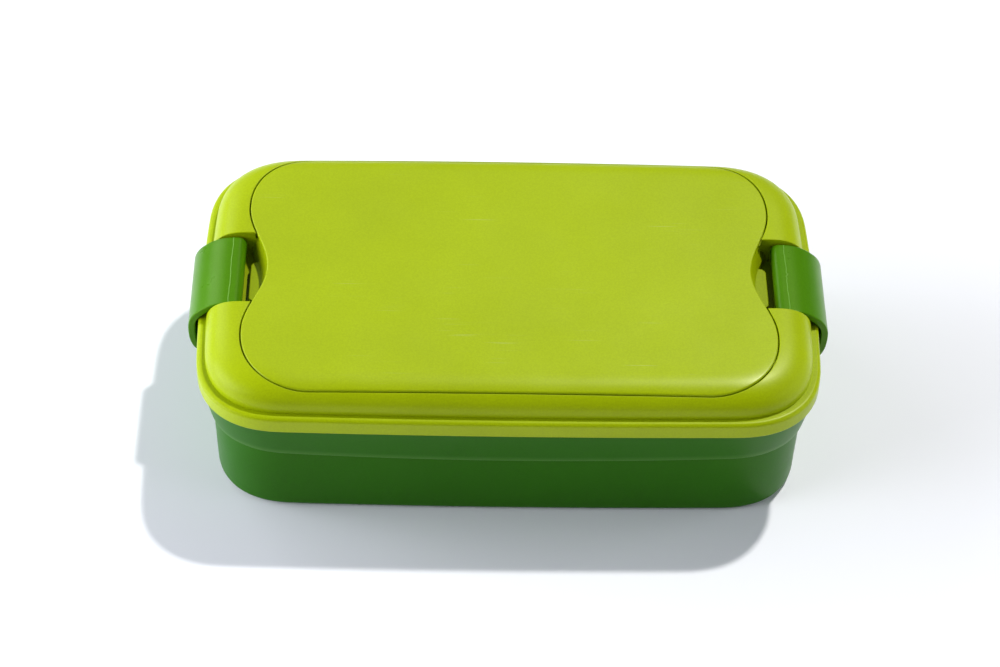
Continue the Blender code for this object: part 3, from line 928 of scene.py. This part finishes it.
def mixed(tree, share, first, second, blend="MIX"):
    pairs = ((0, share), (6, first), (7, second))
    return add_node(tree, "ShaderNodeMix", pairs, data_type="RGBA", blend_type=blend).outputs[2]


def bump(tree, height, strength, depth, under=None, invert=False):
    """A Normal output: relief of the given depth in metres, on top of another relief if one is given."""
    made = add_node(tree, "ShaderNodeBump", (("Height", height), ("Strength", strength)), invert=invert)
    made.inputs["Distance"].default_value = depth
    if under:
        tree.links.new(under, made.inputs["Normal"])
    return made.outputs["Normal"]


def scratches(tree, place, turn, scale):
    """Sparse fine lines in one direction: a value of 0, or up to 1 on a scratch."""
    mapping = add_node(tree, "ShaderNodeMapping", (("Vector", place), ("Rotation", (0.0, 0.0, turn))))
    mapping.inputs["Scale"].default_value = (scale * 0.02, scale, scale * 0.3)
    lines = ranged(tree, noise(tree, mapping.outputs["Vector"], 1.0, 1.0), 0.70, 0.76, 0.0, 1.0)
    patches = ranged(tree, noise(tree, place, PATCH_SCALE + turn, 1.0), 0.52, 0.68, 0.0, 1.0)
    return maths(tree, "MULTIPLY", lines, patches)


def scaled(colour, share):
    return tuple(value * share for value in colour) + (1.0,)


def moulded_plastic(name, colour, roughness, sheen, tint, scratched=False, seam_and_painted_highlight=None):
    """A pigmented moulding plastic: faint flow clouds, a fine grain, sink marks and rubbed patches.

    It can have hairline scratches, and a pale colour where a mesh's point attribute asks for it: on the
    latches that is their moulding seam, and on the tub it is a painted highlight along the collar's lower
    edge.
    """
    material = bpy.data.materials.new(name)
    material.use_nodes = True
    tree = material.node_tree
    shader = tree.nodes["Principled BSDF"]
    place = add_node(tree, "ShaderNodeTexCoord").outputs["Object"]

    clouds = ranged(tree, noise(tree, place, CLOUD_SCALE, 4.0, 0.55), 0.3, 0.7, 0.0, 1.0)
    base = mixed(tree, clouds, scaled(colour, 1 - CLOUD_CONTRAST), scaled(colour, 1 + CLOUD_CONTRAST))
    specks = ranged(tree, noise(tree, place, SPECK_SCALE, 2.0), 0.35, 0.65, 0.0, 1.0)
    base = mixed(tree, SPECK_SHARE, base, mixed(tree, specks, BLACK, WHITE), "OVERLAY")
    rubbing_and_painted_highlight = noise(tree, place, RUB_SCALE, 5.0, 0.6)
    gloss = ranged(tree, rubbing_and_painted_highlight, 0.3, 0.7, roughness - RUB_POLISH, roughness + RUB_DULLING)
    sink = bump(tree, noise(tree, place, SINK_SCALE, 1.0), 0.35, SINK_DEPTH * MM)
    relief = bump(tree, noise(tree, place, GRAIN_SCALE, 3.0), 0.35, GRAIN_DEPTH * MM, sink)
    if scratched:
        lines = [scratches(tree, place, turn, scale) for turn, scale in SCRATCH_DIRECTIONS]
        marks = maths(tree, "MAXIMUM", *lines)
        base = mixed(tree, maths(tree, "MULTIPLY", marks, SCRATCH_SHARE), base, SCRATCH_COLOUR)
        gloss = maths(tree, "ADD", gloss, maths(tree, "MULTIPLY", marks, SCRATCH_DULLING))
        relief = bump(tree, marks, 0.5, SCRATCH_DEPTH * MM, relief, invert=True)
    # The pale colour is the latches' moulding seam, and on the tub a painted highlight along the collar's
    # lower edge
    if seam_and_painted_highlight:
        seam_and_highlight_mask = add_node(tree, "ShaderNodeAttribute", attribute_name="seam_and_painted_highlight").outputs["Fac"]
        base = mixed(tree, maths(tree, "MULTIPLY", seam_and_highlight_mask, SEAM_AND_HIGHLIGHT_SHARE), base, (*seam_and_painted_highlight, 1.0))
    tree.links.new(base, shader.inputs["Base Color"])
    tree.links.new(gloss, shader.inputs["Roughness"])
    tree.links.new(relief, shader.inputs["Normal"])
    shader.inputs["IOR"].default_value = PLASTIC_IOR
    shader.inputs["Specular IOR Level"].default_value = sheen
    shader.inputs["Specular Tint"].default_value = (*tint, 1.0)
    return material


def seal_rubber():
    """Pale silicone, a little dusty."""
    material = bpy.data.materials.new("pale_silicone")
    material.use_nodes = True
    tree = material.node_tree
    shader = tree.nodes["Principled BSDF"]
    place = add_node(tree, "ShaderNodeTexCoord").outputs["Object"]
    dust = ranged(tree, noise(tree, place, DUST_SCALE, 4.0, 0.6), 0.35, 0.7, 0.0, 1.0)
    tree.links.new(mixed(tree, dust, SILICONE, DUSTY_SILICONE), shader.inputs["Base Color"])
    tree.links.new(ranged(tree, dust, 0.0, 1.0, 0.5, 0.68), shader.inputs["Roughness"])
    relief = bump(tree, noise(tree, place, SILICONE_SCALE, 2.0), 0.3, SILICONE_DEPTH * MM)
    tree.links.new(relief, shader.inputs["Normal"])
    shader.inputs["Subsurface Weight"].default_value = 0.2
    shader.inputs["Subsurface Scale"].default_value = 1.0 * MM
    return material


# ---- stage ---------------------------------------------------------------------------------------

# What the lights face, in metres
STAGE_CENTRE = (0.0, 0.0, 0.03)
DAYLIGHT = (1.0, 1.0, 1.0)
COOL = (0.90, 0.93, 1.04)

# Name, place and size in metres, watts, colour, and whether gloss mirrors it
LIGHTS = (
    ("key", (0.93, 1.085, 2.55), (0.13, 0.13), 57.0, DAYLIGHT, True),
    ("left_fill", (-1.30, -0.10, 0.50), (1.6, 0.9), 20.5, COOL, False),
    ("left_box", (-1.20, -0.10, 0.38), (0.9, 0.6), 7.0, COOL, True),
    ("left_back_box", (-0.85, 0.80, 0.70), (0.6, 0.6), 3.0, COOL, True),
    ("back_box", (0.0, 1.2, 1.1), (1.6, 0.8), 1.5, COOL, True),
    ("right_box", (1.40, -0.10, 0.50), (1.4, 0.8), 9.0, COOL, False),
)

# The backdrop is bright where it is seen directly, and only a faint light on the box
BACKDROP_COLOUR = (0.92, 0.96, 1.0, 1.0)
BACKDROP_AS_LIGHT = 0.06
BACKDROP_AS_SEEN = 1.1

# In millimetres, as the shapes are
SENSOR_WIDTH = 36.0
FOCAL_LENGTH = 102.83
CAMERA_YAW = math.radians(-1.46)
CAMERA_PITCH = math.radians(46.32)
CAMERA_ROLL = math.radians(1.82)
CAMERA_TARGET = (-2.66, -0.41, 28.96)
CAMERA_DISTANCE = 1047.3


def make_floor():
    corners = [(-FLOOR_REACH, -FLOOR_REACH), (FLOOR_REACH, -FLOOR_REACH)]
    corners += [(FLOOR_REACH, FLOOR_REACH), (-FLOOR_REACH, FLOOR_REACH)]
    floor = loft("floor", [level(corners, FLOOR_BOTTOM), level(corners, FLOOR_TOP)])
    material = bpy.data.materials.new("pale_floor")
    material.use_nodes = True
    shader = material.node_tree.nodes["Principled BSDF"]
    shader.inputs["Base Color"].default_value = FLOOR_COLOUR
    shader.inputs["Roughness"].default_value = 0.6
    shader.inputs["Specular IOR Level"].default_value = 0.2
    floor.data.materials.append(material)


def area_light(name, place, size, power, colour, mirrored_in_gloss):
    data = bpy.data.lights.new(name, "AREA")
    data.shape = "RECTANGLE"
    data.size, data.size_y = size
    data.energy = power
    data.color = colour
    light = bpy.data.objects.new(name, data)
    light.location = place
    light.visible_camera = False
    light.visible_glossy = mirrored_in_gloss
    light.rotation_euler = (Vector(STAGE_CENTRE) - Vector(place)).to_track_quat("-Z", "Y").to_euler()
    bpy.context.scene.collection.objects.link(light)


def make_lights():
    for light in LIGHTS:
        area_light(*light)
    world = bpy.data.worlds.new("studio")
    world.use_nodes = True
    tree = world.node_tree
    backdrop = tree.nodes["Background"]
    backdrop.inputs["Color"].default_value = BACKDROP_COLOUR
    seen = add_node(tree, "ShaderNodeLightPath").outputs["Is Camera Ray"]
    strength = ranged(tree, seen, 0.0, 1.0, BACKDROP_AS_LIGHT, BACKDROP_AS_SEEN)
    tree.links.new(strength, backdrop.inputs["Strength"])
    bpy.context.scene.world = world


def make_camera():
    data = bpy.data.cameras.new("camera")
    data.sensor_width = SENSOR_WIDTH
    data.lens = FOCAL_LENGTH
    data.clip_start = 0.05
    data.clip_end = 20.0
    camera = bpy.data.objects.new("camera", data)
    level_back = Vector((math.sin(CAMERA_YAW), -math.cos(CAMERA_YAW), 0.0)) * math.cos(CAMERA_PITCH)
    back = level_back + Vector((0.0, 0.0, math.sin(CAMERA_PITCH)))
    camera.location = (Vector(CAMERA_TARGET) + back * CAMERA_DISTANCE) * MM
    camera.rotation_mode = "QUATERNION"
    turned = Matrix.Rotation(CAMERA_YAW, 3, "Z") @ Matrix.Rotation(0.5 * math.pi - CAMERA_PITCH, 3, "X")
    camera.rotation_quaternion = (turned @ Matrix.Rotation(CAMERA_ROLL, 3, "Z")).to_quaternion()
    bpy.context.scene.collection.objects.link(camera)
    bpy.context.scene.camera = camera


def dress(piece, material, body, node):
    """Gives a piece its material, hides the CAD node that it stands for, and attaches it to the body that
    it moves with.
    """
    piece.data.materials.clear()
    piece.data.materials.append(material)
    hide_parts(node)
    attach(piece, body)


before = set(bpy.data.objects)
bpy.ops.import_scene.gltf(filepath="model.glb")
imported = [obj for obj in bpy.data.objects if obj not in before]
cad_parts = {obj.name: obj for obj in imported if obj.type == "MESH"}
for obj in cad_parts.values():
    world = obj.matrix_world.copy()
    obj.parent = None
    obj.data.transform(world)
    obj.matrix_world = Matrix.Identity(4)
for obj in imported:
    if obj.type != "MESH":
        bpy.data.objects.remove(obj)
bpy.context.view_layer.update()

lime = moulded_plastic("lime_moulding_plastic", LIME, 0.36, 0.30, (1.0, 1.0, 0.6))
lime_top = moulded_plastic("lime_panel_plastic", LIME, 0.34, 0.42, (1.0, 1.0, 0.7), scratched=True)
# The base's green carries a painted highlight along the collar's lower edge
green = moulded_plastic("green_moulding_plastic", GREEN, 0.34, 0.20, (0.65, 1.0, 0.2), seam_and_painted_highlight=PAINTED_HIGHLIGHT_GREEN)
latch_green = moulded_plastic(
    "latch_moulding_plastic", LATCH_GREEN, 0.29, 0.34, (0.85, 1.0, 0.30), seam_and_painted_highlight=PALE_LATCH_GREEN
)
cutlery_green = moulded_plastic("cutlery_moulding_plastic", LATCH_GREEN, 0.28, 0.5, (1.0, 1.0, 1.0))

dress(make_tub(), green, "base", "base_container")
dress(make_lid(), lime, "lid", "lid")
dress(make_seal(), seal_rubber(), "lid", "lid_seal")
dress(make_panel(), lime_top, "panel", "top_panel")
for latch_side, latch_name in ((-1, "left_latch"), (1, "right_latch")):
    made_latch = make_latch(latch_side, f"{latch_name}_moulding")
    dress(made_latch, latch_green, latch_name, latch_name)
for made_implement, implement_name in zip(make_cutlery(), ("spoon", "fork", "knife")):
    dress(made_implement, cutlery_green, implement_name, implement_name)

make_floor()
make_lights()
make_camera()
bpy.context.scene.view_settings.view_transform = "Standard"
